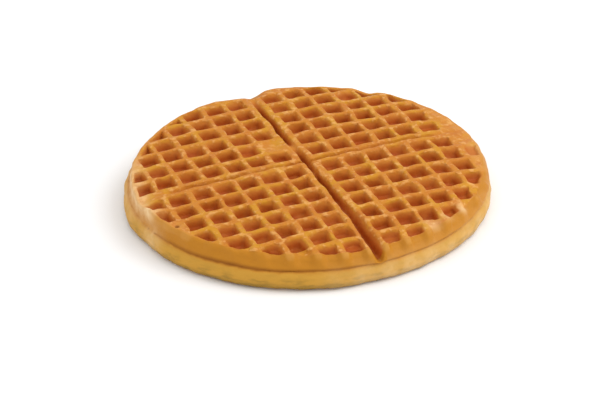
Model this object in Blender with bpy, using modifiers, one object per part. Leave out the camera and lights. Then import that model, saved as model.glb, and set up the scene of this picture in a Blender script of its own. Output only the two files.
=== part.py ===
"""A round waffle, baked between two iron plates: a disc with a grid of square pockets in both
faces, quartered by a deep groove and a shallow one, with the plates' seam round its rim.

Metres, +Z up. The origin is on the table, under the middle of the waffle's box. +X runs along
the shallow groove and +Y along the deep one, away from the near side.
"""
import math
import random

import bmesh
import bpy
from mathutils import Matrix, Vector

# Driving sizes
DIAMETER = 0.178
THICKNESS = 0.0196
SEAM_HEIGHT = 0.0098
PITCH = 0.0118
RIB_WIDTH = 0.0026
POCKET_DEPTH = 0.0058

# The grid: wider ribs carry the two grooves, and pockets stop at the plates' round edge
DEEP_RIB_EXTRA = 0.66 * PITCH
SHALLOW_RIB_EXTRA = 0.47 * PITCH
POCKETS_EACH_WAY = 7
LEAST_SHARE = 0.36
SHARE_SAMPLES = 9

# A pocket: a flared mouth, then walls that close in towards the floor
POCKET_MOUTH = PITCH - RIB_WIDTH
FLARE_DEPTH = 0.0009
POCKET_THROAT = POCKET_MOUTH - 0.0009
POCKET_FLOOR = 0.0062
PEG_LEAD = 0.0012
CLIP_SLOPE = 0.20
CLIP_RADIUS_EXTRA = 0.0005
UNEVEN_PLACE = 0.00018
UNEVEN_TURN = math.radians(1.5)
UNEVEN_DEPTH = 0.07

# Pockets of the top that batter partly filled, and the share of their depth that is left.
# A pocket is (column, row), counted from the grooves, plus to the right and to the far side.
FILLED = {(-1, 2): 0.30, (-2, 2): 0.75, (7, -2): 0.45, (-6, 4): 0.7, (4, 5): 0.8}
NOT_FORMED = {(7, -1), (7, 1), (7, 2), (-2, 7), (-1, 7), (1, 7), (2, 7)}

# The deep groove: narrow on the far side, wide where it runs out through the near rim
DEEP_WIDTH = 0.0024
DEEP_WIDTH_AT_RIM = 0.0044
DEEP_DEPTH = 0.0056
NOTCH_DEPTH = THICKNESS - SEAM_HEIGHT - 0.0003
WIDENS_FROM = 0.020
NOTCH_FROM = 0.050
NOTCH_TO = 0.084
FAR_FILLED_FROM = 0.058
FAR_FILLED_TO = 0.070
BRIDGE_PLACE = 0.0170
BRIDGE_REACH = 0.0062
BRIDGE_SHARE = 0.80
NECK_PLACE = -0.0090
NECK_REACH = 0.0030
NECK_SHARE = 0.50

# The shallow groove: a fine line that fades before it reaches the rim
SHALLOW_WIDTH = 0.0028
SHALLOW_DEPTH = 0.0017
SHALLOW_FADE_FROM = 0.060
SHALLOW_FADE_TO = 0.078
GROOVE_FLOOR_SHARE = 0.25
GROOVE_LEAST_DEPTH = 0.0003
GROOVE_LEAD = 0.0020
GROOVE_STEPS = 22

# The rim's profile
FACE_RADIUS = 0.0832
SEAM_RADIUS = 0.0868
BASE_RADIUS = 0.0850
EDGE_ROUND = 0.0013
CREASE = 0.0008
WIDEST_HEIGHT = 0.0045
RIM_STEPS = 72
BULGE_STEPS = 5

# The outline: lobes all round, the top a little to the right, and its far edge short of batter
LOBES = ((2, 0.0003, 0.6), (3, 0.0004, 2.1), (5, 0.0002, 4.0))
TOP_SHIFT = Vector((0.0012, -0.0006))
FAR_SHORTFALL = 0.0036
FAR_DIRECTION = math.radians(84)
FAR_SPREAD = math.radians(50)

# The top sags towards its edge, most on the right and the near side
TOP_SAG = 0.0026
SAG_POWER = 4
SAG_LEAN = Vector((0.40, -0.27))

# Single hollows and one swelling in the top: direction, distance, reach, and how deep
UNEVEN_SPOTS = (
    (math.radians(92.5), 0.0790, 0.0050, 0.0032),
    (math.radians(45), 0.0822, 0.0050, 0.0018),
    (math.radians(181), 0.0850, 0.0050, 0.0014),
    (math.radians(189), 0.0850, 0.0055, -0.0012),
)

CRUST_COLOUR = (0.72, 0.33, 0.09, 1.0)
CRUST_ROUGHNESS = 0.55
SEED = 7


def clear_scene():
    for thing in list(bpy.data.objects):
        bpy.data.objects.remove(thing)


def new_collection(name):
    made = bpy.data.collections.new(name)
    bpy.context.scene.collection.children.link(made)
    return made


def add_object(name, mesh, collection):
    made = bpy.data.objects.new(name, mesh)
    collection.objects.link(made)
    return made


def add_cutter(name, work, collection):
    """A cutter from a bmesh, which this frees."""
    work.normal_update()
    bmesh.ops.recalc_face_normals(work, faces=work.faces)
    mesh = bpy.data.meshes.new(name)
    work.to_mesh(mesh)
    work.free()
    cutter = add_object(name, mesh, collection)
    cutter.hide_render = True
    cutter.display_type = "WIRE"
    return cutter


def evaluated_mesh(thing):
    """A plain mesh of the object with its modifiers worked out."""
    bpy.context.view_layer.update()
    graph = bpy.context.evaluated_depsgraph_get()
    return bpy.data.meshes.new_from_object(thing.evaluated_get(graph))


def baked_crust():
    material = bpy.data.materials.new("baked_crust")
    material.use_nodes = True
    shader = material.node_tree.nodes["Principled BSDF"]
    shader.inputs["Base Color"].default_value = CRUST_COLOUR
    shader.inputs["Roughness"].default_value = CRUST_ROUGHNESS
    shader.inputs["Metallic"].default_value = 0.0
    return material


def bell(offset, spread):
    return math.exp(-((offset / spread) ** 2))


def smooth_step(value, start, end):
    share = min(1.0, max(0.0, (value - start) / (end - start)))
    return share * share * (3 - 2 * share)


def turn_between(a, b):
    return (a - b + math.pi) % (2 * math.pi) - math.pi


def lobes(heading):
    return sum(size * math.cos(count * heading + phase) for count, size, phase in LOBES)


def edge_change(heading, face_up):
    """How much further out than a true circle the edge of a face lies."""
    short = FAR_SHORTFALL * bell(turn_between(heading, FAR_DIRECTION), FAR_SPREAD) if face_up else 0.0
    return lobes(heading) - short


def upper_share(height):
    """From 0 at the seam to 1 at the top face."""
    return min(1.0, max(0.0, (height - SEAM_HEIGHT) / (THICKNESS - SEAM_HEIGHT)))


def uneven_outline(point):
    """A point of the rim moved outwards or inwards, so that the rim isn't a true circle."""
    heading = math.atan2(point.y, point.x)
    radius = math.hypot(point.x, point.y)
    short = lobes(heading) - edge_change(heading, True)
    scale = (radius + lobes(heading) - short * upper_share(point.z)) / radius
    shift = TOP_SHIFT if point.z > SEAM_HEIGHT else Vector((0, 0))
    return Vector((point.x * scale + shift.x, point.y * scale + shift.y, point.z))


def rim_profile():
    """Radius and height down the rim, from the top face's edge to the flat of the base."""
    edge = EDGE_ROUND
    points = [
        (FACE_RADIUS, THICKNESS),
        (FACE_RADIUS + 0.6 * edge, THICKNESS - 0.25 * edge),
        (FACE_RADIUS + edge, THICKNESS - edge),
        ((FACE_RADIUS + edge + SEAM_RADIUS) / 2 + 0.0003, (THICKNESS - edge + SEAM_HEIGHT) / 2),
        (SEAM_RADIUS, SEAM_HEIGHT + 0.9 * CREASE),
        (SEAM_RADIUS - CREASE, SEAM_HEIGHT),
    ]
    widest = DIAMETER / 2
    for step in range(BULGE_STEPS):
        turn = math.radians(72 - 144 * step / (BULGE_STEPS - 1))
        radius = widest - (widest - SEAM_RADIUS) * (1 - math.cos(turn))
        points.append((radius, WIDEST_HEIGHT + 0.9 * WIDEST_HEIGHT * math.sin(turn)))
    points.append((BASE_RADIUS, 0.0))
    return points


def turned_disc():
    """The rim turned round the axis with a Screw, closed by one flat face above and one below."""
    mesh = bpy.data.meshes.new("rim_profile")
    points = [(radius, 0, height) for radius, height in rim_profile()]
    mesh.from_pydata(points, [(i, i + 1) for i in range(len(points) - 1)], [])
    profile = add_object("rim_profile", mesh, bpy.context.scene.collection)
    screw = profile.modifiers.new("turn", "SCREW")
    screw.steps = screw.render_steps = RIM_STEPS
    screw.use_merge_vertices = True
    screw.merge_threshold = 0.00005
    disc = evaluated_mesh(profile)
    bpy.data.objects.remove(profile)
    work = bmesh.new()
    work.from_mesh(disc)
    bmesh.ops.remove_doubles(work, verts=work.verts, dist=0.00001)
    bmesh.ops.holes_fill(work, edges=work.edges, sides=RIM_STEPS)
    bmesh.ops.recalc_face_normals(work, faces=work.faces)
    for vert in work.verts:
        vert.co = uneven_outline(vert.co)
    work.to_mesh(disc)
    work.free()
    return disc


def cell_middle(column, row):
    """The middle of a cell, with the wide ribs of the two grooves allowed for."""
    x = math.copysign((abs(column) - 0.5) * PITCH + DEEP_RIB_EXTRA / 2, column)
    y = math.copysign((abs(row) - 0.5) * PITCH + SHALLOW_RIB_EXTRA / 2, row)
    return Vector((x, y))


def share_inside(middle):
    """How much of a pocket's mouth lies inside the round edge of the face."""
    inside = 0
    for i in range(SHARE_SAMPLES):
        for j in range(SHARE_SAMPLES):
            across = (i + 0.5) / SHARE_SAMPLES - 0.5
            along = (j + 0.5) / SHARE_SAMPLES - 0.5
            if (middle + Vector((across, along)) * POCKET_MOUTH).length < FACE_RADIUS:
                inside += 1
    return inside / SHARE_SAMPLES ** 2


def cells(face_up):
    counts = [n for n in range(-POCKETS_EACH_WAY, POCKETS_EACH_WAY + 1) if n]
    for column in counts:
        for row in counts:
            formed = not face_up or (column, row) not in NOT_FORMED
            if formed and share_inside(cell_middle(column, row)) > LEAST_SHARE:
                yield column, row


def peg_mesh():
    """One peg of the iron, pointing down from the face at z = 0, and rising a little above it."""
    flare = (POCKET_MOUTH - POCKET_THROAT) / FLARE_DEPTH
    levels = (
        (PEG_LEAD, POCKET_MOUTH + flare * PEG_LEAD),
        (-FLARE_DEPTH, POCKET_THROAT),
        (-POCKET_DEPTH, POCKET_FLOOR),
    )
    work = bmesh.new()
    height, width = levels[0]
    turned = Matrix.Translation((0, 0, height)) @ Matrix.Rotation(math.radians(45), 4, "Z")
    bmesh.ops.create_circle(work, cap_ends=True, segments=4, radius=width * math.sqrt(0.5), matrix=turned)
    face = work.faces[:]
    for step, (height, width) in enumerate(levels[1:]):
        made = bmesh.ops.extrude_face_region(work, geom=face, use_keep_orig=step == 0)["geom"]
        if step:
            bmesh.ops.delete(work, geom=face, context="FACES_ONLY")
        face = [g for g in made if isinstance(g, bmesh.types.BMFace)]
        for vert in face[0].verts:
            vert.co = Vector((math.copysign(width / 2, vert.co.x), math.copysign(width / 2, vert.co.y), height))
    bmesh.ops.recalc_face_normals(work, faces=work.faces)
    mesh = bpy.data.meshes.new("peg")
    work.to_mesh(mesh)
    work.free()
    return mesh


def plate_pegs(name, face_up, draw, collection):
    """The pegs of one plate, cut off by the plate's round edge."""
    peg = peg_mesh()
    work = bmesh.new()
    for column, row in cells(face_up):
        depth = 1 + draw.uniform(-UNEVEN_DEPTH, UNEVEN_DEPTH)
        if face_up:
            depth *= FILLED.get((column, row), 1.0)
        middle = cell_middle(column, row)
        middle += Vector((draw.uniform(-1, 1), draw.uniform(-1, 1))) * UNEVEN_PLACE
        turn = Matrix.Rotation(draw.uniform(-UNEVEN_TURN, UNEVEN_TURN), 4, "Z")
        if not face_up:
            turn = Matrix.Rotation(math.pi, 4, "X") @ turn
        place = Matrix.Translation((middle.x, middle.y, THICKNESS if face_up else 0.0)) @ turn
        first = len(work.verts)
        work.from_mesh(peg)
        work.verts.ensure_lookup_table()
        bmesh.ops.transform(work, verts=work.verts[first:], matrix=place @ Matrix.Diagonal((1, 1, depth, 1)))
    pegs = add_cutter(name, work, collection)
    trim = pegs.modifiers.new("round_edge", "BOOLEAN")
    trim.operation = "INTERSECT"
    trim.object = plate_edge(name + "_edge", face_up, collection)
    return pegs


def plate_edge(name, face_up, collection):
    """What keeps a plate's pegs inside its round edge: a cone that narrows into the waffle."""
    work = bmesh.new()
    reach = POCKET_DEPTH * (1 + 2 * UNEVEN_DEPTH) + 2 * PEG_LEAD
    wide = FACE_RADIUS + CLIP_RADIUS_EXTRA + CLIP_SLOPE * 2 * PEG_LEAD
    bmesh.ops.create_cone(
        work, cap_ends=True, segments=RIM_STEPS, radius1=wide - CLIP_SLOPE * reach, radius2=wide, depth=reach
    )
    for vert in work.verts:
        heading = math.atan2(vert.co.y, vert.co.x)
        radius = math.hypot(vert.co.x, vert.co.y)
        scale = (radius + edge_change(heading, face_up)) / radius
        height = vert.co.z + 2 * PEG_LEAD - reach / 2
        if face_up:
            x, y = Vector((vert.co.x, vert.co.y)) * scale + TOP_SHIFT
            vert.co = (x, y, THICKNESS + height)
        else:
            vert.co = (vert.co.x * scale, vert.co.y * scale, -height)
    return add_cutter(name, work, collection)


def deep_groove_section(place, face_up):
    """Width at the face and depth of the deep groove, at a place along it."""
    if not face_up:
        return DEEP_WIDTH, DEEP_DEPTH * (1 - smooth_step(abs(place), FAR_FILLED_FROM, FAR_FILLED_TO))
    notch = smooth_step(-place, NOTCH_FROM, NOTCH_TO)
    width = DEEP_WIDTH + (DEEP_WIDTH_AT_RIM - DEEP_WIDTH) * smooth_step(-place, WIDENS_FROM, NOTCH_TO)
    depth = DEEP_DEPTH + (NOTCH_DEPTH - DEEP_DEPTH) * notch
    depth *= 1 - BRIDGE_SHARE * bell(place - BRIDGE_PLACE, BRIDGE_REACH)
    depth *= 1 - NECK_SHARE * bell(place - NECK_PLACE, NECK_REACH)
    depth *= 1 - smooth_step(place, FAR_FILLED_FROM, FAR_FILLED_TO)
    return width, depth


def shallow_groove_section(place, face_up):
    fade = 1 - smooth_step(abs(place), SHALLOW_FADE_FROM, SHALLOW_FADE_TO)
    return SHALLOW_WIDTH, SHALLOW_DEPTH * fade


def groove_cutter(name, section, face_up, heading, collection):
    """A wedge along a groove, made from a box whose slices are shaped one by one."""
    work = bmesh.new()
    bmesh.ops.create_cube(work, size=1.0)
    for step in range(1, GROOVE_STEPS):
        slice_at = (0, step / GROOVE_STEPS - 0.5, 0)
        everything = work.verts[:] + work.edges[:] + work.faces[:]
        bmesh.ops.bisect_plane(work, geom=everything, plane_co=slice_at, plane_no=(0, 1, 0))
    for vert in work.verts:
        place = vert.co.y * (DIAMETER + 4 * GROOVE_LEAD)
        width, depth = section(place, face_up)
        depth = max(depth, GROOVE_LEAST_DEPTH)
        floor = GROOVE_FLOOR_SHARE * width
        above = vert.co.z > 0
        half = (width + (width - floor) / depth * min(GROOVE_LEAD, depth)) / 2 if above else floor / 2
        vert.co = (math.copysign(half, vert.co.x), place, min(GROOVE_LEAD, depth) if above else -depth)
    cutter = add_cutter(name, work, collection)
    cutter.location = (0, 0, THICKNESS if face_up else 0.0)
    cutter.rotation_euler = (0 if face_up else math.pi, 0, heading)
    return cutter


def cut_grooves(face_up, side, collection):
    quarter = math.radians(90)
    deep = groove_cutter("deep_groove_" + side, deep_groove_section, face_up, 0, collection)
    shallow = groove_cutter("shallow_groove_" + side, shallow_groove_section, face_up, quarter, collection)
    return [deep, shallow]


def sag_at(point):
    """How far the top face lies below its middle."""
    flat = Vector((point.x, point.y))
    lean = 1 + SAG_LEAN.dot(flat) / (DIAMETER / 2)
    drop = TOP_SAG * lean * (flat.length / (DIAMETER / 2)) ** SAG_POWER
    for direction, distance, reach, depth in UNEVEN_SPOTS:
        away = flat - distance * Vector((math.cos(direction), math.sin(direction)))
        drop += depth * bell(away.length, reach)
    return drop


def settle(mesh):
    """The top's sag and its hollows, on loose triangles. The base stays flat, and is centred."""
    work = bmesh.new()
    work.from_mesh(mesh)
    bmesh.ops.triangulate(work, faces=work.faces[:])
    for vert in work.verts:
        vert.co.z -= sag_at(vert.co) * upper_share(vert.co.z)
    across = [vert.co.x for vert in work.verts]
    along = [vert.co.y for vert in work.verts]
    middle = Vector((min(across) + max(across), min(along) + max(along), 0)) / 2
    bmesh.ops.translate(work, verts=work.verts, vec=-middle)
    work.to_mesh(mesh)
    work.free()


def make_waffle(parts, cutters):
    draw = random.Random(SEED)
    disc = add_object("disc", turned_disc(), parts)
    tools = []
    for face_up, side in ((True, "top"), (False, "under")):
        tools.append(plate_pegs("pegs_" + side, face_up, draw, cutters))
        tools.extend(cut_grooves(face_up, side, cutters))
    for tool in tools:
        cut = disc.modifiers.new(tool.name, "BOOLEAN")
        cut.operation = "DIFFERENCE"
        cut.object = tool
    mesh = evaluated_mesh(disc)
    bpy.data.objects.remove(disc)
    settle(mesh)
    mesh.name = "waffle"
    waffle = add_object("waffle", mesh, parts)
    waffle.data.materials.clear()
    waffle.data.materials.append(baked_crust())
    return waffle


def main():
    clear_scene()
    parts = new_collection("waffle")
    cutters = new_collection("waffle_iron")
    cutters.hide_render = True
    make_waffle(parts, cutters)


main()
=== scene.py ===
"""The looks of a round baked waffle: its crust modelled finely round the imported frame, and the
stage that it is seen on. Run it as a script in Blender 4.5.

Metres, +Z up. The cage of the crust is modelled round the crossing of its two grooves, with +X
along the shallow groove and +Y along the deep one, and is then moved to the frame's place.
"""

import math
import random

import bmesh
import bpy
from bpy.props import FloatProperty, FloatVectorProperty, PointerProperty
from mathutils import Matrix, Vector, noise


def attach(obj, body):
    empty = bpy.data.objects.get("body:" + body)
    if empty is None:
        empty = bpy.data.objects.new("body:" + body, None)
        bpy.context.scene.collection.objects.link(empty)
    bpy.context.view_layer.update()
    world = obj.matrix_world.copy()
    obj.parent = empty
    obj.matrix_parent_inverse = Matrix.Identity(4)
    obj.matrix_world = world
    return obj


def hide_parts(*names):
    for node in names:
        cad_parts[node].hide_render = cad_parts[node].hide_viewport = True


bl_info = {
    "name": "Baked Waffle",
    "version": (1, 0, 0),
    "blender": (4, 5, 0),
    "location": "View3D > Sidebar > Waffle",
    "description": "Models a round waffle with square pockets, and a plain stage for it",
    "category": "Object",
}

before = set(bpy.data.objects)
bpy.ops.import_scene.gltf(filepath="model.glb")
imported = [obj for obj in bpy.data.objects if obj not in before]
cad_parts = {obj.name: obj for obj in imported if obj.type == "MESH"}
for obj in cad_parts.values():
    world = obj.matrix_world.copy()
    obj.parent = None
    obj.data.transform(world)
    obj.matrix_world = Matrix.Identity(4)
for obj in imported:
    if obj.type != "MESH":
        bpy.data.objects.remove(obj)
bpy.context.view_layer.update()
PHOTO_SIZE = (600, 400)

# Where the grooves cross, from the middle of the frame's box
CROSSING = Vector((0.00033, -0.00050, 0.0))

# The pitch of the grid, and how much wider the ribs with the grooves are, in pitches
PITCH = 0.0118
DEEP_RIB_EXTRA = 0.66
SHALLOW_RIB_EXTRA = 0.47

# The grid: cells are (column, row), counted from the grooves, plus to the right and far side
POCKETS_EACH_WAY = 7
LAST_LINE = 0.0815
NOT_FORMED = {(7, -1), (7, 1), (7, 2), (-2, 7), (-1, 7), (1, 7), (2, 7)}

# A pocket is formed where more than this share of its mouth lies in the face, found by sampling
LEAST_SHARE = 0.36
SHARE_SAMPLES = 9
FACE_RADIUS = 0.0832

# Pockets that batter partly filled, each with the share of its depth that is left
FILLED = {(-1, 2): 0.12, (-2, 2): 0.75, (7, -2): 0.45, (-6, 4): 0.7, (4, 5): 0.8, (6, 1): 0.7}

# How far each pocket strays: its place, its turn, and shares of its size, depth and browning
UNEVEN_PLACE = 0.00032
UNEVEN_TURN = math.radians(2.6)
UNEVEN_SIZE = 0.03
UNEVEN_DEPTH = 0.12
UNEVEN_BROWNING = 0.2
SEED = 7

# A pocket's rings, as inset and share of its depth: lip, flare, wall and foot
POCKET_RINGS = ((0.0004, 0.08), (0.0004, 0.28), (0.0008, 0.80), (0.0007, 1.0))
UNDER_RINGS = ((0.0006, 0.16), (0.0016, 1.0))
MOUTH_GROWTH = 0.0007

# Pockets that the rim cuts are sunk in groups by their width, and the narrower ones less deep
GROUPS = 8
LEAST_GROUP = 0.125
NARROW_SHALLOWER = 0.6
SHORT_EDGE = 0.0012

# Creases: a pocket's corners from and to a share of its depth, its mouth, and the crest
CORNER_CREASES = ((0.0, 0.28, 0.7), (0.28, 1.0, 0.42))
MOUTH_CREASE = 0.6
CREST_CREASE = 0.55

# Levels of smoothing, and the share of triangles then kept below and above the seam
SMOOTHING = 3
KEPT_BELOW = 0.12
KEPT_ABOVE = 0.25

# Labels of the cage's faces, and how close a point or a normal is taken to be the same
TOP_FACE = 1
BASE_FACE = 2
NEAR = 0.00005
FLAT = 0.999

# The rim's rings: how far from the widest radius, and height as a share of the half it is in
RIM_SIDES = 80
LOWER_RINGS = (
    (-0.0045, 0.0),
    (-0.0020, 0.04),
    (-0.0006, 0.18),
    (0.0002, 0.46),
    (-0.0004, 0.72),
    (-0.0013, 0.88),
)
SEAM_RADIUS_LESS = 0.0025
UPPER_RINGS = (
    (-0.0024, 0.12),
    (-0.0024, 0.30),
    (-0.0028, 0.55),
    (-0.0034, 0.78),
    (-0.0041, 0.93),
    (-0.0050, 1.0),
)
CREST_WIDTH = 0.0008

# The seam's painted shade under the overhang: how far it reaches, and where it is weaker, as share,
# direction and spread
SEAM_SHADE_ABOVE = 0.0034
SEAM_SHADE_BELOW = 0.0012
SEAM_SHADE_FADES = (
    (0.85, math.radians(176), math.radians(26)),
    (0.42, math.radians(-70), math.radians(45)),
)

# The deep groove: it widens before the near rim, is a notch there, and is filled at the far end
DEEP_WIDTH = 0.0034
DEEP_WIDTH_AT_RIM = 0.0064
DEEP_DEPTH = 0.0052
WIDENS_FROM = 0.020
NOTCH_DEPTH = 0.0096
NOTCH_FROM = 0.050
NOTCH_TO = 0.084
NOTCH_RIM = -0.070
FAR_FILLED_FROM = 0.058
FAR_FILLED_TO = 0.070

# Where batter bridges the deep groove, and where it narrows it
BRIDGE_PLACE = 0.0170
BRIDGE_REACH = 0.0062
BRIDGE_SHARE = 0.80
NECK_PLACE = -0.0090
NECK_REACH = 0.0030
NECK_SHARE = 0.50

# The shallow groove, which fades before the rim and is less brown
SHALLOW_WIDTH = 0.0028
SHALLOW_DEPTH = 0.0029
SHALLOW_FADE_FROM = 0.060
SHALLOW_FADE_TO = 0.078
SHALLOW_BROWNING = 0.6

# A groove's section, and the lines that are cut across the deep one
GROOVE_LIP = 0.0006
GROOVE_EDGE_DROP = 0.0004
GROOVE_FLOOR_SHARE = 0.36
GROOVE_CROSS_LINES = (-0.0600, -0.0200, -0.0090, 0.0, 0.0090, 0.0195, 0.0225)

# The outline: lobes all round, each as count, size and phase, and the top moved to the right
LOBES = ((2, 0.0003, 0.6), (3, 0.0004, 2.1), (5, 0.0002, 4.0))
TOP_SHIFT = Vector((0.0012, -0.0006))

# The far edge is short of batter, and shorter still over the few degrees by the deep groove
FAR_SHORTFALL = 0.0036
FAR_DIRECTION = math.radians(84)
FAR_SPREAD = math.radians(50)
GAP_SHORTFALL = 0.0058
GAP_DIRECTION = math.radians(95)
GAP_SPREAD = math.radians(7.0)

# The left edge has more batter
LEFT_REACH = 0.0026
LEFT_DIRECTION = math.radians(180)
LEFT_SPREAD = math.radians(34)

# The top sags towards its edge, most on the right and the near side
TOP_SAG = 0.0026
SAG_POWER = 4
SAG_LEAN = Vector((0.40, -0.27))

# Single hollows and swellings of the top: place, reach, and how deep
SPOTS = (
    (Vector((0.0025, 0.0790)), 0.0045, 0.0045),
    (Vector((0.0581, 0.0581)), 0.0050, 0.0018),
    (Vector((-0.0850, -0.0015)), 0.0050, 0.0014),
    (Vector((-0.0840, -0.0133)), 0.0055, -0.0012),
    (Vector((-0.0773, -0.0294)), 0.0013, 0.0014),
)

# The dark floor of the smallest hollow, a dot of painted shade
PIT_PLACE = Vector((-0.0773, -0.0294, 0.0172))
PIT_RADIUS = 0.0015

# Pockets at the edge: how far in from a rib's middle, in pitches, a pocket starts and is full
POCKET_FROM = 0.08
POCKET_FULL = 0.34

# They lower the edge to scallops and hollow the rim to facets, between these radii
SCALLOP_FROM = 0.0780
SCALLOP_TO = 0.0815
SCALLOP_DEPTH = 0.0024
FACET_DEPTH = 0.0018
FACET_FROM = 0.1
FACET_FULL = 0.6

# The scallops are weaker away from the near side, which ends at this sine of the heading
SCALLOP_CALM = 0.9
NEAR_SIDE_FULL = -0.75
NEAR_SIDE_END = -0.35

# Where a rib's end counts on the upper rim, in shares of its height, and how narrow it is; the ribs'
# ends get a painted highlight
RIB_END_FROM = 0.25
RIB_END_FULL = 0.7
RIB_END_POWER = 3

# How the batter strays from its cage: waves, lumps and crumbs, each as size and push
WAVE_SIZE = 0.0170
WAVE_PUSH = 0.00045
LUMP_SIZE = 0.0075
LUMP_PUSH = 0.00072
CRUMB_SIZE = 0.0034
CRUMB_PUSH = 0.00032

# How much calmer the rims are, the share of a push that goes up or down, and the flat foot's height
UPPER_RIM_CALM = 0.55
LOWER_RIM_CALM = 0.25
UPRIGHT_PUSH = 0.6
FLAT_FOOT = 0.003

# Shifts of the noise, so that top and underside, waves, lumps and crumbs don't match
TOP_NOISE = 3.1
UNDER_NOISE = 11.7
LUMP_NOISE = 5
CRUMB_NOISE = 9
NOISE_SLANT = 0.7

# Where the crust is painted pale: place, reach and amount. Partly pale batter, partly painted
# highlights and painted light on the rim
PALE_AND_LIT_PLACES = (
    # On the left rim: pale batter and a painted highlight
    (Vector((-0.0862, -0.0120, 0.0178)), 0.0055, 1.0),
    (Vector((-0.0870, -0.0030, 0.0152)), 0.0055, 0.70),
    (Vector((-0.0865, 0.0050, 0.0155)), 0.0065, 0.90),
    (Vector((-0.0855, 0.0120, 0.0155)), 0.0065, 0.90),
    (Vector((-0.0840, 0.0190, 0.0155)), 0.0065, 0.80),
    (Vector((-0.0810, 0.0260, 0.0155)), 0.0065, 0.65),
    (Vector((-0.0775, 0.0330, 0.0155)), 0.0065, 0.45),
    (Vector((-0.0895, -0.0190, 0.0085)), 0.0070, 0.65),
    # Along the near right edge: painted highlights
    (Vector((0.0518, -0.0675, 0.0166)), 0.0030, 0.8),
    (Vector((0.0412, -0.0720, 0.0166)), 0.0030, 0.4),
    (Vector((0.0325, -0.0750, 0.0166)), 0.0040, 0.5),
    # Along the lower rim from the front to the right: paler patches, and painted light where the key
    # softbox falls
    (Vector((-0.0200, -0.0868, 0.0030)), 0.0070, 0.20),
    (Vector((-0.0070, -0.0888, 0.0030)), 0.0070, 0.42),
    (Vector((0.0050, -0.0889, 0.0030)), 0.0070, 0.46),
    (Vector((0.0160, -0.0876, 0.0030)), 0.0070, 0.52),
    (Vector((0.0280, -0.0845, 0.0030)), 0.0070, 0.54),
    (Vector((0.0400, -0.0795, 0.0020)), 0.0070, 0.46),
    (Vector((0.0510, -0.0730, 0.0020)), 0.0070, 0.54),
    (Vector((0.0610, -0.0650, 0.0020)), 0.0070, 0.56),
    (Vector((0.0700, -0.0550, 0.0025)), 0.0070, 0.56),
    (Vector((0.0770, -0.0450, 0.0030)), 0.0070, 0.52),
    (Vector((0.0830, -0.0330, 0.0040)), 0.0080, 0.48),
    (Vector((0.0870, -0.0200, 0.0080)), 0.0080, 0.46),
)

# The crust's grain: of what, its size, and its detail. Pores are coarser than real ones, to show
GRAINS = (
    ("pocket_mottle", 0.0050, 2.0),
    ("burnt_flecks", 0.0045, 2.0),
    ("golden_patches", 0.0140, 2.0),
    ("brown_patches", 0.0060, 2.0),
    ("pale_flecks", 0.0030, 2.0),
    ("pale_mottle", 0.0040, 2.0),
    ("lumps", 0.0030, 3.0),
    ("pores", 0.0011, 3.0),
)

# The streaks along the lower rim: their length, how much flatter they are, and their detail
STREAK_SIZE = 0.008
STREAK_FLATNESS = 3.5
STREAK_DETAIL = 3.0

# Masks: name, what it reads, from which value to which, and what it gives at the two
MASKS = (
    ("crest", "sunk_or_rim", 0.0, 0.3, 1.0, 0.0),
    # Walls and floors darken with depth: partly browning, partly painted shade in the pockets
    ("wall", "pocket_depth", 0.03, 0.34, 0.0, 1.0),
    ("floor", "pocket_depth", 0.25, 0.80, 0.0, 1.0),
    ("deep", "pocket_depth", 0.3, 0.8, 0.0, 1.0),
    ("shallow", "pocket_depth", 0.0, 0.25, 1.0, 0.1),
    ("mottled", "pocket_mottle", 0.45, 0.65, 0.0, 0.5),
    # Painted highlight on the ribs' ends
    ("painted_rib_end_highlight", "rib_end", 0.3, 1.0, 0.0, 0.18),
    # The lower rim darkens towards the table: partly its duller foot, partly painted shade
    ("above_shaded_foot", "height", 0.0010, 0.0050, 0.25, 1.0),
    ("turned_under", "height", 0.0002, 0.0010, 0.75, 0.0),
    ("low", "height", 0.0040, 0.0080, 1.0, 0.2),
    ("lowest", "height", 0.0010, 0.0040, 1.0, 0.0),
    ("streaked", "streaks", 0.44, 0.66, 0.0, 0.60),
    ("burnt", "burnt_flecks", 0.66, 0.72, 0.0, 0.8),
    ("golden", "golden_patches", 0.42, 0.62, 0.0, 0.80),
    ("browned", "brown_patches", 0.44, 0.61, 0.0, 0.60),
    # Pale flecks on the crests, partly painted glints
    ("flecked", "pale_flecks", 0.50, 0.68, 0.0, 0.50),
    # Painted shade along the seam
    ("painted_seam_shade", "seam", 0.25, 1.0, 0.0, 0.80),
    ("mottled_pale", "pale_mottle", 0.35, 0.58, 0.65, 1.0),
    # Painted shade on the floor of the smallest hollow
    ("painted_pit_shade", "from_pit", 0.4 * PIT_RADIUS, PIT_RADIUS, 0.8, 0.0),
    ("lump_height", "lumps", 0.0, 1.0, -0.5, 0.5),
)

# Products of two of these, each for what holds only where both do
PRODUCTS = (
    ("mottled_pocket", "mottled", "deep"),
    ("low_streaks", "streaked", "low"),
    ("burnt_foot", "burnt", "lowest"),
    ("golden_crest", "golden", "crest"),
    ("browned_crest", "browned", "crest"),
    # Pale flecks on the crests, partly painted glints
    ("flecked_and_glinting_crest", "flecked", "crest"),
    # Pale batter, painted highlights and painted light, mottled and kept out of the pockets
    ("pale_and_lit_patch", "pale", "mottled_pale"),
    ("pale_and_lit_crust", "pale_and_lit_patch", "shallow"),
    ("lumpy_crest", "lump_height", "crest"),
)

# Colours laid over one another: where, and which. First the lower rim, on the colour of its foot,
# which is darker partly by painted shade near the table
BAND_LAYERS = (
    # Darker towards the table: partly the duller foot, partly painted shade
    ("above_shaded_foot", "lower"),
    ("turned_under", "rib"),
    ("low_streaks", "dull_foot_and_shade"),
    ("burnt_foot", "seam"),
)

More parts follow.
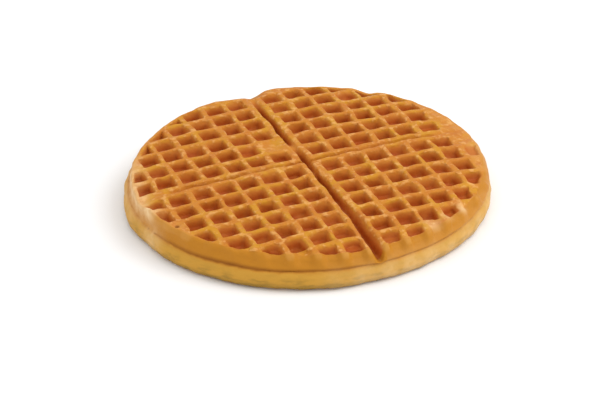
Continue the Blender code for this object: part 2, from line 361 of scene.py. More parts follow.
# Then the whole crust, on the ribs' colour
CRUST_LAYERS = (
    # Walls and floors: partly browning, partly painted shade
    ("wall", "wall"),
    ("floor", "floor"),
    ("mottled_pocket", "wall"),
    ("upper_rim", "upper"),
    # Painted highlight on the ribs' ends
    ("painted_rib_end_highlight", "fleck_and_highlight"),
    ("lower_rim", "band"),
    ("golden_crest", "yellow"),
    ("browned_crest", "wall"),
    # Pale flecks, partly painted glints
    ("flecked_and_glinting_crest", "fleck_and_highlight"),
    # Painted shade along the seam
    ("painted_seam_shade", "seam"),
    # Pale batter, painted highlights and painted light
    ("pale_and_lit_crust", "pale"),
    # Painted shade in the smallest hollow
    ("painted_pit_shade", "seam"),
)


def linear(code):
    """A linear colour from an sRGB hex code."""
    channels = [int(code[i:i + 2], 16) / 255 for i in (0, 2, 4)]
    curved = [c / 12.92 if c <= 0.04045 else ((c + 0.055) / 1.055) ** 2.4 for c in channels]
    return (*curved, 1.0)


def bell(offset, spread):
    """1 at no offset, falling smoothly to nothing past the spread."""
    return math.exp(-((offset / spread) ** 2))


def smooth_step(value, start, end):
    """From 0 at the start to 1 at the end, with no corner."""
    share = min(1.0, max(0.0, (value - start) / (end - start)))
    return share * share * (3 - 2 * share)


def turn_between(a, b):
    """The angle from b to a, the short way round."""
    return (a - b + math.pi) % (2 * math.pi) - math.pi


def colour_property(name, description, code):
    """A colour in the sidebar, with its default from an sRGB hex code."""
    return FloatVectorProperty(
        name=name, description=description, default=linear(code),
        subtype="COLOR", size=4, min=0, max=1
    )


class WaffleSizes(bpy.types.PropertyGroup):
    diameter: FloatProperty(
        name="Diameter", description="Widest measure across the rim", default=0.178, unit="LENGTH"
    )
    thickness: FloatProperty(
        name="Thickness", description="From the table to the top face", default=0.0196, unit="LENGTH"
    )
    seam_height: FloatProperty(
        name="Seam height", description="Height of the line where the iron's halves met",
        default=0.0098, unit="LENGTH"
    )
    pitch: FloatProperty(
        name="Pitch", description="From one pocket's middle to the next", default=PITCH, unit="LENGTH"
    )
    rib_width: FloatProperty(
        name="Rib width", description="Width of a rib at the face", default=0.0026, unit="LENGTH"
    )
    pocket_depth: FloatProperty(
        name="Pocket depth", description="From the face to a pocket's floor",
        default=0.0058, unit="LENGTH"
    )
    deep_rib_extra: FloatProperty(
        name="Deep groove's rib", description="Extra width of the rib with the deep groove",
        default=DEEP_RIB_EXTRA * PITCH, unit="LENGTH"
    )
    shallow_rib_extra: FloatProperty(
        name="Shallow groove's rib", description="Extra width of the rib with the shallow groove",
        default=SHALLOW_RIB_EXTRA * PITCH, unit="LENGTH"
    )


class WaffleColours(bpy.types.PropertyGroup):
    rib: colour_property("Rib", "Crests of the ribs, baked golden", "C47C29")
    # Pale flecks on the ribs, partly painted glints, and the painted highlight on the ribs' ends
    fleck_and_highlight: colour_property("Lip", "Pale flecks on the ribs", "E8B269")
    # The pockets darken from wall to floor, partly by browning and partly by painted shade in the
    # hollows
    wall: colour_property("Pocket wall", "Walls of the pockets", "BC6D28")
    floor: colour_property("Pocket floor", "Floors of the pockets, baked longest", "AE541B")
    yellow: colour_property("Yellow patches", "Patches that baked less", "C78B23")
    upper: colour_property("Upper rim", "The smooth rim above the seam", "BA7A21")
    lower: colour_property("Lower rim", "The paler rim below the seam", "C69238")
    # The duller foot, partly painted shade near the table; also the colour of the lower rim's streaks
    dull_foot_and_shade: colour_property("Foot", "The duller foot of the lower rim", "8C6E2E")
    # Pale batter, and the painted highlights and painted light on the rim
    pale: colour_property("Pale batter", "Batter that hardly browned", "EAC692")
    # The seam's colour is painted shade under the overhang; it also colours the burnt flecks and the
    # smallest hollow's painted shade
    seam: colour_property("Seam", "The brown line where the iron's halves met", "7E4512")
    table: colour_property("Floor", "The pale floor under the waffle", "F6F6F6")


def only(thing):
    """Makes a thing the active one and the only one that is selected."""
    bpy.ops.object.select_all(action="DESELECT")
    bpy.context.view_layer.objects.active = thing
    thing.select_set(True)


def apply_modifier(thing, kind, **settings):
    """Adds a modifier with its settings, and applies it."""
    made = thing.modifiers.new(kind.lower(), kind)
    for name, value in settings.items():
        setattr(made, name, value)
    only(thing)
    bpy.ops.object.modifier_apply(modifier=made.name)


def select_faces(thing, wanted):
    """In edit mode, selects the faces that a test takes, and nothing else.
    The test is given a face and the label of what it belongs to."""
    bpy.ops.mesh.select_all(action="DESELECT")
    work = bmesh.from_edit_mesh(thing.data)
    face_of = work.faces.layers.int.get("face_of") or work.faces.layers.int.new("face_of")
    for face in work.faces:
        if wanted(face, face[face_of]):
            face.select_set(True)
    bmesh.update_edit_mesh(thing.data)


def lobes(heading):
    """How far the outline swells past its circle."""
    return sum(size * math.cos(count * heading + phase) for count, size, phase in LOBES)


def far_shortfall(heading):
    """How far the top's edge stays back from the outline for want of batter."""
    short = FAR_SHORTFALL * bell(turn_between(heading, FAR_DIRECTION), FAR_SPREAD)
    return short + GAP_SHORTFALL * bell(turn_between(heading, GAP_DIRECTION), GAP_SPREAD)


def upper_share(sizes, height):
    """From 0 at the seam to 1 at the top face."""
    return min(1.0, max(0.0, (height - sizes.seam_height) / (sizes.thickness - sizes.seam_height)))


def cell_middle(sizes, column, row):
    """A pocket's middle. The wide ribs with the grooves push the pockets outwards."""
    x = math.copysign((abs(column) - 0.5) * sizes.pitch + sizes.deep_rib_extra / 2, column)
    y = math.copysign((abs(row) - 0.5) * sizes.pitch + sizes.shallow_rib_extra / 2, row)
    return Vector((x, y))


def share_inside(middle, mouth):
    """How much of a pocket's mouth lies inside the round edge of the face."""
    inside = 0
    for i in range(SHARE_SAMPLES):
        for j in range(SHARE_SAMPLES):
            across = (i + 0.5) / SHARE_SAMPLES - 0.5
            along = (j + 0.5) / SHARE_SAMPLES - 0.5
            if (middle + Vector((across, along)) * mouth).length < FACE_RADIUS:
                inside += 1
    return inside / SHARE_SAMPLES ** 2


def mouth_width(sizes):
    """A pocket's mouth in the cage, a little wider than the mouth that smoothing leaves."""
    return sizes.pitch - sizes.rib_width + MOUTH_GROWTH


def formed_cells(sizes, face_up):
    """Column, row and middle of each pocket that was formed."""
    mouth = sizes.pitch - sizes.rib_width
    counts = [n for n in range(-POCKETS_EACH_WAY, POCKETS_EACH_WAY + 1) if n]
    for column in counts:
        for row in counts:
            middle = cell_middle(sizes, column, row)
            if face_up and (column, row) in NOT_FORMED:
                continue
            if share_inside(middle, mouth) > LEAST_SHARE:
                yield column, row, middle


def rim_rings(sizes):
    """Radius and height of the rim's rings, from the edge of the base to the top's."""
    widest = sizes.diameter / 2
    seam = sizes.seam_height
    upper = sizes.thickness - seam
    rings = [(widest + less, seam * share) for less, share in LOWER_RINGS]
    rings.append((widest - SEAM_RADIUS_LESS, seam))
    rings.extend((widest + less, seam + upper * share) for less, share in UPPER_RINGS)
    return rings


def raise_rim(sizes):
    """The body of the waffle: a round face, extruded ring by ring up the rim."""
    rings = rim_rings(sizes)
    radius, height = rings[0]
    bpy.ops.object.select_all(action="DESELECT")
    bpy.ops.mesh.primitive_circle_add(
        vertices=RIM_SIDES, radius=radius, fill_type="NGON", location=(0, 0, 0)
    )
    waffle = bpy.context.object
    waffle.name = "baked_waffle"
    bpy.ops.object.mode_set(mode="EDIT")
    bpy.ops.mesh.select_mode(type="FACE")
    bpy.ops.mesh.select_all(action="SELECT")
    for next_radius, next_height in rings[1:]:
        rise = (0, 0, next_height - height)
        bpy.ops.mesh.extrude_region_move(TRANSFORM_OT_translate={"value": rise})
        share = next_radius / radius
        bpy.ops.transform.resize(value=(share, share, 1), center_override=(0, 0, next_height))
        radius, height = next_radius, next_height
    bpy.ops.mesh.select_all(action="SELECT")
    bpy.ops.mesh.normals_make_consistent(inside=False)
    shape_outline(waffle, sizes)
    label_rim(waffle, sizes)
    for face_up, label in ((True, TOP_FACE), (False, BASE_FACE)):
        level = sizes.thickness if face_up else 0.0
        select_faces(waffle, lambda face, part: all(abs(v.co.z - level) < NEAR for v in face.verts))
        bpy.ops.mesh.inset(thickness=CREST_WIDTH)
        label_face(waffle, label)
        crease_crest(waffle, level)
    return waffle


def shape_outline(waffle, sizes):
    """Gives the rim its lobes, shifts the top, and pulls its far edge in and its left edge out."""
    work = bmesh.from_edit_mesh(waffle.data)
    for vert in work.verts:
        heading = math.atan2(vert.co.y, vert.co.x)
        radius = vert.co.xy.length
        share = upper_share(sizes, vert.co.z)
        reach = LEFT_REACH * bell(turn_between(heading, LEFT_DIRECTION), LEFT_SPREAD) * share ** 2
        grown = (radius + lobes(heading) + reach - far_shortfall(heading) * share) / radius
        vert.co.x *= grown
        vert.co.y *= grown
        if vert.co.z > sizes.seam_height + NEAR:
            vert.co.xy += TOP_SHIFT
    bmesh.update_edit_mesh(waffle.data)


def label_rim(waffle, sizes):
    """Notes on the cage's points which belong to the upper rim and the lower rim, and how much
    painted shade falls along the seam.
    """
    work = bmesh.from_edit_mesh(waffle.data)
    upper = work.verts.layers.float.new("upper_rim")
    lower = work.verts.layers.float.new("lower_rim")
    seam = work.verts.layers.float.new("seam")
    work.verts.layers.float.new("pocket_depth")
    work.faces.layers.float.new("narrow")
    for vert in work.verts:
        above = vert.co.z - sizes.seam_height
        vert[upper] = 1.0 if above > -NEAR else 0.0
        vert[lower] = 1.0 - vert[upper]
        shade = max(0.0, 1 - abs(above) / (SEAM_SHADE_ABOVE if above > 0 else SEAM_SHADE_BELOW))
        heading = math.atan2(vert.co.y, vert.co.x)
        for share, direction, width in SEAM_SHADE_FADES:
            shade *= 1 - share * bell(turn_between(heading, direction), width)
        vert[seam] = shade
    bmesh.update_edit_mesh(waffle.data)


def label_face(waffle, label):
    """Notes that the selected faces are the round top or base, and no longer the rim."""
    work = bmesh.from_edit_mesh(waffle.data)
    upper = work.verts.layers.float["upper_rim"]
    lower = work.verts.layers.float["lower_rim"]
    face_of = work.faces.layers.int["face_of"]
    for face in work.faces:
        if face.select:
            face[face_of] = label
            for vert in face.verts:
                vert[upper] = 0.0
                vert[lower] = 0.0
    bmesh.update_edit_mesh(waffle.data)


def cut_lines(waffle, across, places, wanted):
    """Cuts the wanted faces along straight lines, one for each place on the X or Y axis."""
    for place in places:
        select_faces(waffle, wanted)
        at = (place, 0, 0) if across else (0, place, 0)
        bpy.ops.mesh.bisect(plane_co=at, plane_no=(1, 0, 0) if across else (0, 1, 0))


def merge_short_edges(waffle, face_test):
    """Removes the short edges that cuts leave at the rim, which would make a pocket's inset cross."""
    select_faces(waffle, face_test)
    bpy.ops.mesh.remove_doubles(threshold=SHORT_EDGE)


def mouth_lines(sizes, across):
    """Where the edges of the pockets' mouths lie, on both sides of a groove."""
    mouth = mouth_width(sizes)
    lines = []
    for count in range(1, POCKETS_EACH_WAY + 1):
        middle = cell_middle(sizes, count, count)[0 if across else 1]
        lines.extend((middle - mouth / 2, middle + mouth / 2))
    lines = [line for line in lines if line < LAST_LINE]
    return sorted([-line for line in lines] + lines)


def in_face(face_up):
    """A test for the flat faces of the round top, or of the base, inside its crest."""
    label = TOP_FACE if face_up else BASE_FACE
    return lambda face, part: part == label and abs(face.normal.z) > FLAT


def narrowest(face):
    """The least width of a face, measured across each of its edges."""
    widths = []
    for edge in face.edges:
        a, b = edge.verts
        along = (b.co - a.co).normalized()
        across = along.cross(face.normal)
        spread = [across.dot(vert.co - a.co) for vert in face.verts]
        widths.append(max(spread) - min(spread))
    return min(widths)


def group_pockets(waffle, sizes, face_up):
    """Tags the faces that become pockets by how narrow they are, and returns the groups."""
    mouth = mouth_width(sizes)
    cells = [middle for column, row, middle in formed_cells(sizes, face_up)]
    work = bmesh.from_edit_mesh(waffle.data)
    narrow = work.faces.layers.float["narrow"]
    face_of = work.faces.layers.int["face_of"]
    label = TOP_FACE if face_up else BASE_FACE
    groups = set()
    for face in work.faces:
        face[narrow] = 0.0
        middle = face.calc_center_median().xy
        in_cell = any(max(abs(middle.x - c.x), abs(middle.y - c.y)) < mouth / 2 for c in cells)
        if face[face_of] == label and in_cell:
            share = min(1.0, narrowest(face) / mouth)
            if share > LEAST_GROUP:
                face[narrow] = math.floor(share * GROUPS) / GROUPS
                groups.add(face[narrow])
    bmesh.update_edit_mesh(waffle.data)
    return sorted(groups)


def sink_pockets(waffle, sizes, face_up):
    """Insets every pocket's face ring by ring. A pocket that the rim cuts gets narrower rings."""
    rings = POCKET_RINGS if face_up else UNDER_RINGS
    for group in group_pockets(waffle, sizes, face_up):
        work = bmesh.from_edit_mesh(waffle.data)
        narrow = work.faces.layers.float["narrow"]
        select_faces(waffle, lambda face, part: face[narrow] == group)
        depth = sizes.pocket_depth * (1 - NARROW_SHALLOWER * (1 - group))
        reached = 0.0
        for inset, share in rings:
            bpy.ops.mesh.inset(
                thickness=inset * group, depth=-(share - reached) * depth,
                use_individual=True, use_even_offset=True, use_interpolate=False
            )
            reached = share
        work = bmesh.from_edit_mesh(waffle.data)
        narrow = work.faces.layers.float["narrow"]
        for face in work.faces:
            if face[narrow] == group:
                face[narrow] = 0.0
    crease_corners(waffle, sizes, face_up)


def sunk_points(work, face_up):
    """The cage's points that belong to the top or the base and its pockets, and not to the rim."""
    face_of = work.faces.layers.int["face_of"]
    label = TOP_FACE if face_up else BASE_FACE
    return [v for v in work.verts if all(face[face_of] == label for face in v.link_faces)]


def crease_corners(waffle, sizes, face_up):
    """Keeps the pockets square where the crust is smoothed, most at their mouths."""
    level = sizes.thickness if face_up else 0.0
    bpy.ops.mesh.select_mode(type="EDGE")
    for start, end, sharpness in CORNER_CREASES:
        bpy.ops.mesh.select_all(action="DESELECT")
        work = bmesh.from_edit_mesh(waffle.data)
        for vert in sunk_points(work, face_up):
            for edge in vert.link_edges:
                heights = [end_point.co.z for end_point in edge.verts]
                share = abs(sum(heights) / 2 - level) / sizes.pocket_depth
                if abs(heights[0] - heights[1]) > NEAR and start < share < end:
                    edge.select_set(True)
        bmesh.update_edit_mesh(waffle.data)
        bpy.ops.transform.edge_crease(value=sharpness)
    bpy.ops.mesh.select_mode(type="VERT")
    bpy.ops.mesh.select_all(action="DESELECT")
    work = bmesh.from_edit_mesh(waffle.data)
    for vert in sunk_points(work, face_up):
        drops = [abs(edge.other_vert(vert).co.z - level) for edge in vert.link_edges]
        if abs(vert.co.z - level) < NEAR and max(drops) > NEAR:
            vert.select_set(True)
    bmesh.update_edit_mesh(waffle.data)
    bpy.ops.transform.vert_crease(value=MOUTH_CREASE)
    bpy.ops.mesh.select_mode(type="FACE")


def crease_crest(waffle, level):
    """Keeps the edge of the round top or base at its height where the crust is smoothed."""
    bpy.ops.mesh.select_mode(type="EDGE")
    bpy.ops.mesh.select_all(action="DESELECT")
    work = bmesh.from_edit_mesh(waffle.data)
    for edge in work.edges:
        if all(abs(vert.co.z - level) < NEAR for vert in edge.verts):
            edge.select_set(True)
    bmesh.update_edit_mesh(waffle.data)
    bpy.ops.transform.edge_crease(value=CREST_CREASE)
    bpy.ops.mesh.select_mode(type="FACE")


def unsettle_pockets(waffle, sizes, face_up, draw):
    """Each pocket a little off its place and turned, with its own size, depth and browning."""
    mouth = mouth_width(sizes)
    level = sizes.thickness if face_up else 0.0
    work = bmesh.from_edit_mesh(waffle.data)
    pocket_depth = work.verts.layers.float["pocket_depth"]
    points = sunk_points(work, face_up)
    for column, row, middle in formed_cells(sizes, face_up):
        depth = 1 + draw.uniform(-UNEVEN_DEPTH, UNEVEN_DEPTH)
        if face_up:
            depth *= FILLED.get((column, row), 1.0)
        shift = Vector((draw.uniform(-1, 1), draw.uniform(-1, 1))) * UNEVEN_PLACE
        turn = Matrix.Rotation(draw.uniform(-UNEVEN_TURN, UNEVEN_TURN), 2)
        size = 1 + draw.uniform(-UNEVEN_SIZE, UNEVEN_SIZE)
        browning = 1 + draw.uniform(-UNEVEN_BROWNING, UNEVEN_BROWNING)
        for vert in points:
            away = vert.co.xy - middle
            if max(abs(away.x), abs(away.y)) > mouth / 2 + NEAR:
                continue
            moved = middle + shift + turn @ away * size
            height = level + (vert.co.z - level) * depth
            vert.co = (moved.x, moved.y, height)
            vert[pocket_depth] = min(1.0, browning * abs(height - level) / sizes.pocket_depth)
    bmesh.update_edit_mesh(waffle.data)


def deep_groove_section(place, face_up):
    """Width at the face and depth of the deep groove, at a place along it."""
    if not face_up:
        return DEEP_WIDTH, DEEP_DEPTH * (1 - smooth_step(abs(place), FAR_FILLED_FROM, FAR_FILLED_TO))
    widened = smooth_step(-place, WIDENS_FROM, NOTCH_TO)
    width = DEEP_WIDTH + (DEEP_WIDTH_AT_RIM - DEEP_WIDTH) * widened
    notch = smooth_step(-place, NOTCH_FROM, NOTCH_TO)
    depth = DEEP_DEPTH + (NOTCH_DEPTH - DEEP_DEPTH) * notch
    depth *= 1 - BRIDGE_SHARE * bell(place - BRIDGE_PLACE, BRIDGE_REACH)
    depth *= 1 - NECK_SHARE * bell(place - NECK_PLACE, NECK_REACH)
    depth *= 1 - smooth_step(place, FAR_FILLED_FROM, FAR_FILLED_TO)
    return width, depth


def shallow_groove_section(place):
    """Width at the face and depth of the shallow groove, at a place along it."""
    fade = 1 - smooth_step(abs(place), SHALLOW_FADE_FROM, SHALLOW_FADE_TO)
    return SHALLOW_WIDTH, SHALLOW_DEPTH * fade


def groove_lines(width):
    """Lines along a groove: two for its lips, two for its edges, two for its floor."""
    halves = (width / 2 + GROOVE_LIP, width / 2, GROOVE_FLOOR_SHARE * width / 2)
    return [-half for half in halves] + list(halves)


def score_grooves(waffle, sizes, face_up):
    """Cuts the lines of both grooves, and the lines across them, into the wide ribs."""
    deep_half = (sizes.deep_rib_extra + sizes.rib_width) / 2
    shallow_half = (sizes.shallow_rib_extra + sizes.rib_width) / 2
    face_test = in_face(face_up)

    def deep_rib(face, part):
        middle = face.calc_center_median()
        at_notch = face_up and middle.y < NOTCH_RIM and middle.z > sizes.seam_height + NEAR
        return abs(middle.x) < deep_half and (at_notch or face_test(face, part))

    def shallow_rib(face, part):
        return abs(face.calc_center_median().y) < shallow_half and face_test(face, part)

    def deep_rib_on_face(face, part):
        return abs(face.calc_center_median().x) < deep_half and face_test(face, part)

    cut_lines(waffle, True, groove_lines(DEEP_WIDTH), deep_rib)
    cut_lines(waffle, False, groove_lines(SHALLOW_WIDTH), shallow_rib)
    cut_lines(waffle, False, GROOVE_CROSS_LINES, deep_rib_on_face)


def press_grooves(waffle, sizes, face_up):
    """Moves the lines of the grooves down to their sections."""
    work = bmesh.from_edit_mesh(waffle.data)
    pocket_depth = work.verts.layers.float["pocket_depth"]
    level = sizes.thickness if face_up else 0.0
    sign = 1 if face_up else -1
    points = [v for v in sunk_points(work, face_up) if abs(v.co.z - level) < NEAR]
    if face_up:
        at_rim = [v for v in work.verts if v.co.y < NOTCH_RIM and v.co.z > sizes.seam_height + NEAR]
        points.extend(set(at_rim) - set(points))
    for vert in points:
        x, y, z = vert.co
        drop = 0.0
        width, depth = deep_groove_section(y, face_up)
        if abs(x) < DEEP_WIDTH / 2 + GROOVE_LIP + NEAR:
            if abs(x) < DEEP_WIDTH / 2 + NEAR:
                up_wall = (2 * abs(x) / DEEP_WIDTH - GROOVE_FLOOR_SHARE) / (1 - GROOVE_FLOOR_SHARE)
                drop = depth + (GROOVE_EDGE_DROP - depth) * min(1.0, max(0.0, up_wall))
            vert.co.x = x * width / DEEP_WIDTH
        shallow_width, shallow_depth = shallow_groove_section(x)
        if abs(y) < GROOVE_FLOOR_SHARE * shallow_width / 2 + NEAR:
            drop = max(drop, shallow_depth)
        if drop > GROOVE_EDGE_DROP:
            vert.co.z = min(z, level - drop) if face_up else max(z, level + drop)
            browning = 1.0 if drop > shallow_depth else SHALLOW_BROWNING
            vert[pocket_depth] = min(1.0, browning * drop / sizes.pocket_depth)
        else:
            vert.co.z = z - sign * drop
    bmesh.update_edit_mesh(waffle.data)


def pocket_share(sizes, point):
    """Across and along, 1 in the middle of a pocket's width and 0 on the ribs."""
    shares = []
    extras = (sizes.deep_rib_extra, sizes.shallow_rib_extra)
    for value, extra in zip(point.xy, extras):
        past_groove = abs(value) - extra / 2
        part = (past_groove / sizes.pitch) % 1.0
        from_rib = 0.5 - abs(part - 0.5)
        shares.append(smooth_step(from_rib, POCKET_FROM, POCKET_FULL) if past_groove > 0 else 0.0)
    return shares


def wander(point, size, seed):
    """A smooth random push with three directions, for features of a size."""
    return noise.noise_vector(point / size + Vector((seed, seed * NOISE_SLANT, -seed)))


def point_values(mesh, name):
    """An attribute's value at each point of a mesh."""
    values = [0.0] * len(mesh.vertices)
    mesh.attributes[name].data.foreach_get("value", values)
    return values


def push_of_batter(sizes, point, upper, lower):
    """How the crust strays from its even cage: slow waves, lumps and crumbs, less on the rim."""
    on_top = point.z > sizes.seam_height
    seed = TOP_NOISE if on_top else UNDER_NOISE
    calm = 1 - UPPER_RIM_CALM * upper - LOWER_RIM_CALM * lower
    push = wander(point, WAVE_SIZE, seed) * WAVE_PUSH
    push += wander(point, LUMP_SIZE, seed + LUMP_NOISE) * LUMP_PUSH * calm
    push += wander(point, CRUMB_SIZE, seed + CRUMB_NOISE) * CRUMB_PUSH * calm
    push.z *= UPRIGHT_PUSH if on_top else smooth_step(point.z, 0.0, FLAT_FOOT)
    return push


def rim_pocket_share(sizes, point):
    """1 where a pocket meets the top's edge, and 0 where a rib does, most at the near side."""
    across, along = pocket_share(sizes, point)
    heading = math.atan2(point.y, point.x)
    away = smooth_step(math.sin(heading), NEAR_SIDE_FULL, NEAR_SIDE_END)
    meets = across * math.sin(heading) ** 2 + along * math.cos(heading) ** 2
    return meets * (1 - SCALLOP_CALM * away)


def shape_edge(sizes, point, share):
    """Lowers the edge of the top where a pocket meets it, and hollows the rim below."""
    radius = point.xy.length
    if share == 0 or radius < SCALLOP_FROM:
        return Vector((0, 0, 0))
    in_pocket = rim_pocket_share(sizes, point) * smooth_step(radius, SCALLOP_FROM, SCALLOP_TO)
    hollow = FACET_DEPTH * in_pocket * smooth_step(share, FACET_FROM, FACET_FULL)
    inward = -point.xy.normalized() * hollow
    return Vector((inward.x, inward.y, -SCALLOP_DEPTH * in_pocket * share ** 2))


def top_drop(sizes, flat):
    """The sag of the whole top at a place, with its single hollows and swellings."""
    lean = 1 + SAG_LEAN.dot(flat) / (sizes.diameter / 2)
    drop = TOP_SAG * lean * (flat.length / (sizes.diameter / 2)) ** SAG_POWER
    for place, reach, depth in SPOTS:
        drop += depth * bell((flat - place).length, reach)
    return drop


def reshape(waffle, sizes):
    """Turns the even crust into baked batter: waves, a scalloped edge, hollows and the sag."""
    mesh = waffle.data
    uppers = point_values(mesh, "upper_rim")
    lowers = point_values(mesh, "lower_rim")
    for vert, upper, lower in zip(mesh.vertices, uppers, lowers):
        point = vert.co.copy()
        share = upper_share(sizes, point.z)
        moved = point + push_of_batter(sizes, point, upper, lower) + shape_edge(sizes, point, share)
        moved.z -= top_drop(sizes, moved.xy) * share
        moved.z = max(0.0, moved.z)
        vert.co = moved + CROSSING


def note(waffle, name, measure):
    """Notes a measure of each point of the crust, for the material."""
    values = [measure(vert) for vert in waffle.data.vertices]
    made = waffle.data.attributes.new(name, "FLOAT", "POINT")
    made.data.foreach_set("value", values)


def paleness_and_light(vert):
    """How pale the crust is painted at a point, from the strongest place near it: pale batter, and
    painted highlights and painted light.
    """
    return max(
        amount * bell((vert.co - place).length, reach) for place, reach, amount in PALE_AND_LIT_PLACES
    )


def rib_end(sizes, vert):
    """1 where a rib runs out over the edge of the top, down to 0 between the ribs and below. It marks
    the ribs' ends for a painted highlight.
    """
    point = vert.co - CROSSING
    share = upper_share(sizes, point.z)
    at_edge = smooth_step(point.xy.length, SCALLOP_FROM, SCALLOP_TO)
    at_edge *= smooth_step(share, RIB_END_FROM, RIB_END_FULL)
    return at_edge * (1 - rim_pocket_share(sizes, point)) ** RIB_END_POWER


def thin_out(waffle, sizes):
    """Spends the triangles where the crust shows: few below the seam, more on the top."""
    only(waffle)
    bpy.ops.object.mode_set(mode="EDIT")
    for above, kept in ((False, KEPT_BELOW), (True, KEPT_ABOVE)):
        select_faces(
            waffle,
            lambda face, part: (face.calc_center_median().z > sizes.seam_height) == above
        )
        bpy.ops.mesh.decimate(ratio=kept)
    bpy.ops.object.mode_set(mode="OBJECT")


def model_waffle(sizes):
    """The cage with its pockets and grooves on both faces, smoothed, roughened and thinned out."""
    noise.seed_set(SEED)
    waffle = raise_rim(sizes)
    draw = random.Random(SEED)
    for face_up in (True, False):
        face_test = in_face(face_up)
        cut_lines(waffle, True, mouth_lines(sizes, True), face_test)
        cut_lines(waffle, False, mouth_lines(sizes, False), face_test)
        merge_short_edges(waffle, face_test)
        sink_pockets(waffle, sizes, face_up)
        score_grooves(waffle, sizes, face_up)
        unsettle_pockets(waffle, sizes, face_up, draw)
        press_grooves(waffle, sizes, face_up)
    bpy.ops.object.mode_set(mode="OBJECT")
    apply_modifier(waffle, "SUBSURF", levels=SMOOTHING, render_levels=SMOOTHING)
    reshape(waffle, sizes)
    thin_out(waffle, sizes)
    note(waffle, "pale", paleness_and_light)
    note(waffle, "rib_end", lambda vert: rib_end(sizes, vert))
    only(waffle)
    bpy.ops.object.shade_smooth()
    return waffle


def add_node(tree, kind, inputs=None, **settings):
    """A node with its settings, and its sockets' values or what feeds them."""
    node = tree.nodes.new(kind)
    for name, value in settings.items():
        setattr(node, name, value)
    for socket, value in (inputs or {}).items():
        if isinstance(value, bpy.types.NodeSocket):
            tree.links.new(value, node.inputs[socket])
        else:
            node.inputs[socket].default_value = value
    return node


def new_material(name):
    """A material with an empty tree of nodes."""
    material = bpy.data.materials.new(name)
    material.use_nodes = True
    material.node_tree.nodes.clear()
    return material, material.node_tree


def baked_batter(colours):
    """Wheat batter baked on iron: satin, golden on the ribs and mottled, brown in the pockets partly
    by browning and partly by painted shade, with painted shade along the seam and the foot and
    painted highlights on the rim and the ribs' ends.
    """
    material, tree = new_material("baked_batter")
    place = add_node(tree, "ShaderNodeTexCoord").outputs["Object"]
    value = {"height": add_node(tree, "ShaderNodeSeparateXYZ", {0: place}).outputs["Z"]}
    for name in ("pocket_depth", "upper_rim", "lower_rim", "rib_end", "seam", "pale"):
        value[name] = add_node(tree, "ShaderNodeAttribute", attribute_name=name).outputs["Fac"]
    for name, size, detail in GRAINS:
        value[name] = add_node(
            tree, "ShaderNodeTexNoise", {"Vector": place, "Scale": 1 / size, "Detail": detail}
        ).outputs["Fac"]
    flattened = add_node(
        tree, "ShaderNodeMapping", {"Vector": place, "Scale": (1, 1, STREAK_FLATNESS)}
    ).outputs["Vector"]
    value["streaks"] = add_node(
        tree, "ShaderNodeTexNoise",
        {"Vector": flattened, "Scale": 1 / STREAK_SIZE, "Detail": STREAK_DETAIL}
    ).outputs["Fac"]
    value["from_pit"] = add_node(
        tree, "ShaderNodeVectorMath", {0: place, 1: PIT_PLACE + CROSSING}, operation="DISTANCE"
    ).outputs["Value"]
    rims = add_node(
        tree, "ShaderNodeMath",
        {0: value["upper_rim"], 1: value["lower_rim"]}, operation="MAXIMUM"
    ).outputs[0]
    value["sunk_or_rim"] = add_node(
        tree, "ShaderNodeMath", {0: rims, 1: value["pocket_depth"]}, operation="MAXIMUM"
    ).outputs[0]
    for name, source, start, end, at_start, at_end in MASKS:
        value[name] = add_node(
            tree, "ShaderNodeMapRange",
            {0: value[source], 1: start, 2: end, 3: at_start, 4: at_end},
            interpolation_type="SMOOTHSTEP"
        ).outputs[0]
    for name, first, second in PRODUCTS:
        value[name] = add_node(
            tree, "ShaderNodeMath", {0: value[first], 1: value[second]}, operation="MULTIPLY"
        ).outputs[0]

    paint = {name: getattr(colours, name) for name in WaffleColours.__annotations__}
    for name, base, layers in (("band", "dull_foot_and_shade", BAND_LAYERS), ("crust", "rib", CRUST_LAYERS)):
        paint[name] = paint[base]
        for where, colour in layers:
            paint[name] = add_node(
                tree, "ShaderNodeMix",
                {0: value[where], 6: paint[name], 7: paint[colour]}, data_type="RGBA"
            ).outputs[2]
    lumps = add_node(
        tree, "ShaderNodeBump",
        {"Height": value["lumpy_crest"], "Distance": 0.0008, "Strength": 0.8}
    ).outputs["Normal"]
    pores = add_node(
        tree, "ShaderNodeBump",
        {"Height": value["pores"], "Distance": 0.0003, "Strength": 0.6, "Normal": lumps}
    ).outputs["Normal"]
    shader = add_node(
        tree, "ShaderNodeBsdfPrincipled",
        {
            "Base Color": paint["crust"], "Roughness": 0.50, "IOR": 1.45,
            "Specular IOR Level": 0.13, "Normal": pores,
        }
    )
    add_node(tree, "ShaderNodeOutputMaterial", {"Surface": shader.outputs["BSDF"]})
    return material


def matt_card(colour):
    """Matt white card, which takes a soft shadow and shows no gloss."""
    material, tree = new_material("matt_card")
    shader = add_node(
        tree, "ShaderNodeBsdfPrincipled",
        {"Base Color": colour, "Roughness": 0.9, "Specular IOR Level": 0.1}
    )
    add_node(tree, "ShaderNodeOutputMaterial", {"Surface": shader.outputs["BSDF"]})
    return material


class WAFFLE_OT_waffle(bpy.types.Operator):
    """Model the waffle's crust and give it its material"""

    bl_idname = "waffle.waffle"
    bl_label = "Waffle"

    def execute(self, context):
        waffle = model_waffle(context.scene.waffle_sizes)
        waffle.data.materials.append(baked_batter(context.scene.waffle_colours))
        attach(waffle, "root")
        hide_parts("waffle")
        return {"FINISHED"}


# The camera: its heading, how far it looks down, its roll, and its place in pitches
CAMERA_HEADING = math.radians(-21.98)
CAMERA_DOWN = math.radians(30.21)
CAMERA_ROLL = math.radians(-1.42)
CAMERA_AWAY = 94.87
CAMERA_OFFSET = (-0.254, -1.636)

# The lens, as its focal length in pixels of the photo, the sensor in millimetres, and what is clipped
LENS_PIXELS = 2315.2
SENSOR = 36.0
CLIPPED = 0.01

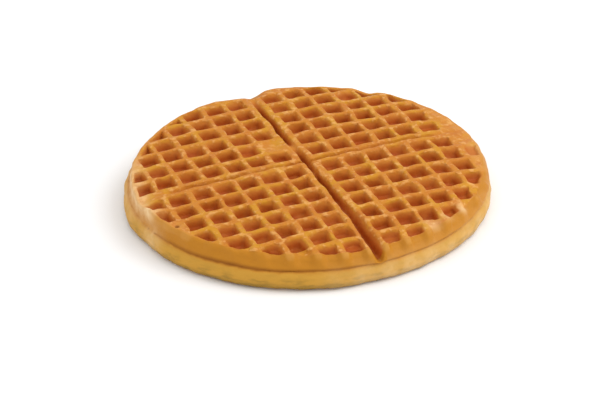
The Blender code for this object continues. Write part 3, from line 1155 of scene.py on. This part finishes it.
# The stage: its floor, an even white sky, and softboxes as name, place, size and watts
FLOOR_SIZE = 8.0
SKY_STRENGTH = 0.94
SOFTBOX_AIM = (0, 0, 0.01)
SOFTBOXES = (
    ("key_softbox", (0.75, -0.38, 0.92), (0.80, 0.80), 6.9),
    ("left_softbox", (-0.85, 0.45, 0.60), (0.25, 0.30), 0.9),
)


def place_camera(sizes):
    """The photograph's view, from how far the crossing of the grooves lies off its middle."""
    back = Vector((
        math.sin(CAMERA_HEADING) * math.cos(CAMERA_DOWN),
        -math.cos(CAMERA_HEADING) * math.cos(CAMERA_DOWN),
        math.sin(CAMERA_DOWN),
    ))
    right = Vector((math.cos(CAMERA_HEADING), math.sin(CAMERA_HEADING), 0))
    up = back.cross(right)
    across = math.cos(CAMERA_ROLL) * right + math.sin(CAMERA_ROLL) * up
    upward = math.cos(CAMERA_ROLL) * up - math.sin(CAMERA_ROLL) * right
    crossing = CROSSING + Vector((0, 0, sizes.thickness))
    offset = CAMERA_AWAY * back + CAMERA_OFFSET[0] * across + CAMERA_OFFSET[1] * upward
    bpy.ops.object.camera_add()
    camera = bpy.context.object
    camera.matrix_world = Matrix.Translation(crossing + sizes.pitch * offset) @ Matrix(
        (across, upward, back)
    ).transposed().to_4x4()
    camera.data.sensor_width = SENSOR
    camera.data.lens = LENS_PIXELS / PHOTO_SIZE[0] * SENSOR
    camera.data.clip_start = CLIPPED
    bpy.context.scene.camera = camera


def add_softbox(name, place, size, power):
    """A rectangular area light that faces the waffle."""
    bpy.ops.object.light_add(type="AREA", location=place)
    lamp = bpy.context.object
    lamp.name = name
    lamp.data.shape = "RECTANGLE"
    lamp.data.size, lamp.data.size_y = size
    lamp.data.energy = power
    lamp.rotation_euler = (Vector(SOFTBOX_AIM) - Vector(place)).to_track_quat("-Z", "Y").to_euler()


class WAFFLE_OT_stage(bpy.types.Operator):
    """Add the pale floor, the soft lights and the camera"""

    bl_idname = "waffle.stage"
    bl_label = "Stage"

    def execute(self, context):
        scene = context.scene
        bpy.ops.object.select_all(action="DESELECT")
        bpy.ops.mesh.primitive_plane_add(size=FLOOR_SIZE, location=(0, 0, 0))
        floor = context.object
        floor.name = "floor"
        floor.data.materials.append(matt_card(scene.waffle_colours.table))
        world = bpy.data.worlds.new("studio")
        world.use_nodes = True
        sky = world.node_tree.nodes["Background"]
        sky.inputs["Color"].default_value = (1, 1, 1, 1)
        sky.inputs["Strength"].default_value = SKY_STRENGTH
        scene.world = world
        for name, place, size, power in SOFTBOXES:
            add_softbox(name, place, size, power)
        scene.view_settings.view_transform = "Standard"
        place_camera(scene.waffle_sizes)
        return {"FINISHED"}


class WAFFLE_PT_panel(bpy.types.Panel):
    """The waffle's pieces, sizes and colours"""

    bl_idname = "WAFFLE_PT_panel"
    bl_label = "Waffle"
    bl_space_type = "VIEW_3D"
    bl_region_type = "UI"
    bl_category = "Waffle"

    def draw(self, context):
        layout = self.layout
        for operator in OPERATORS:
            layout.operator(operator.bl_idname)
        for group in (context.scene.waffle_sizes, context.scene.waffle_colours):
            for name in group.__annotations__:
                layout.prop(group, name)


OPERATORS = (WAFFLE_OT_waffle, WAFFLE_OT_stage)
CLASSES = (WaffleSizes, WaffleColours, *OPERATORS, WAFFLE_PT_panel)


def register():
    for item in CLASSES:
        bpy.utils.register_class(item)
    bpy.types.Scene.waffle_sizes = PointerProperty(type=WaffleSizes)
    bpy.types.Scene.waffle_colours = PointerProperty(type=WaffleColours)


def unregister():
    del bpy.types.Scene.waffle_colours
    del bpy.types.Scene.waffle_sizes
    for item in reversed(CLASSES):
        bpy.utils.unregister_class(item)


def main():
    register()
    bpy.ops.waffle.waffle()
    bpy.ops.waffle.stage()


if __name__ == "__main__":
    main()
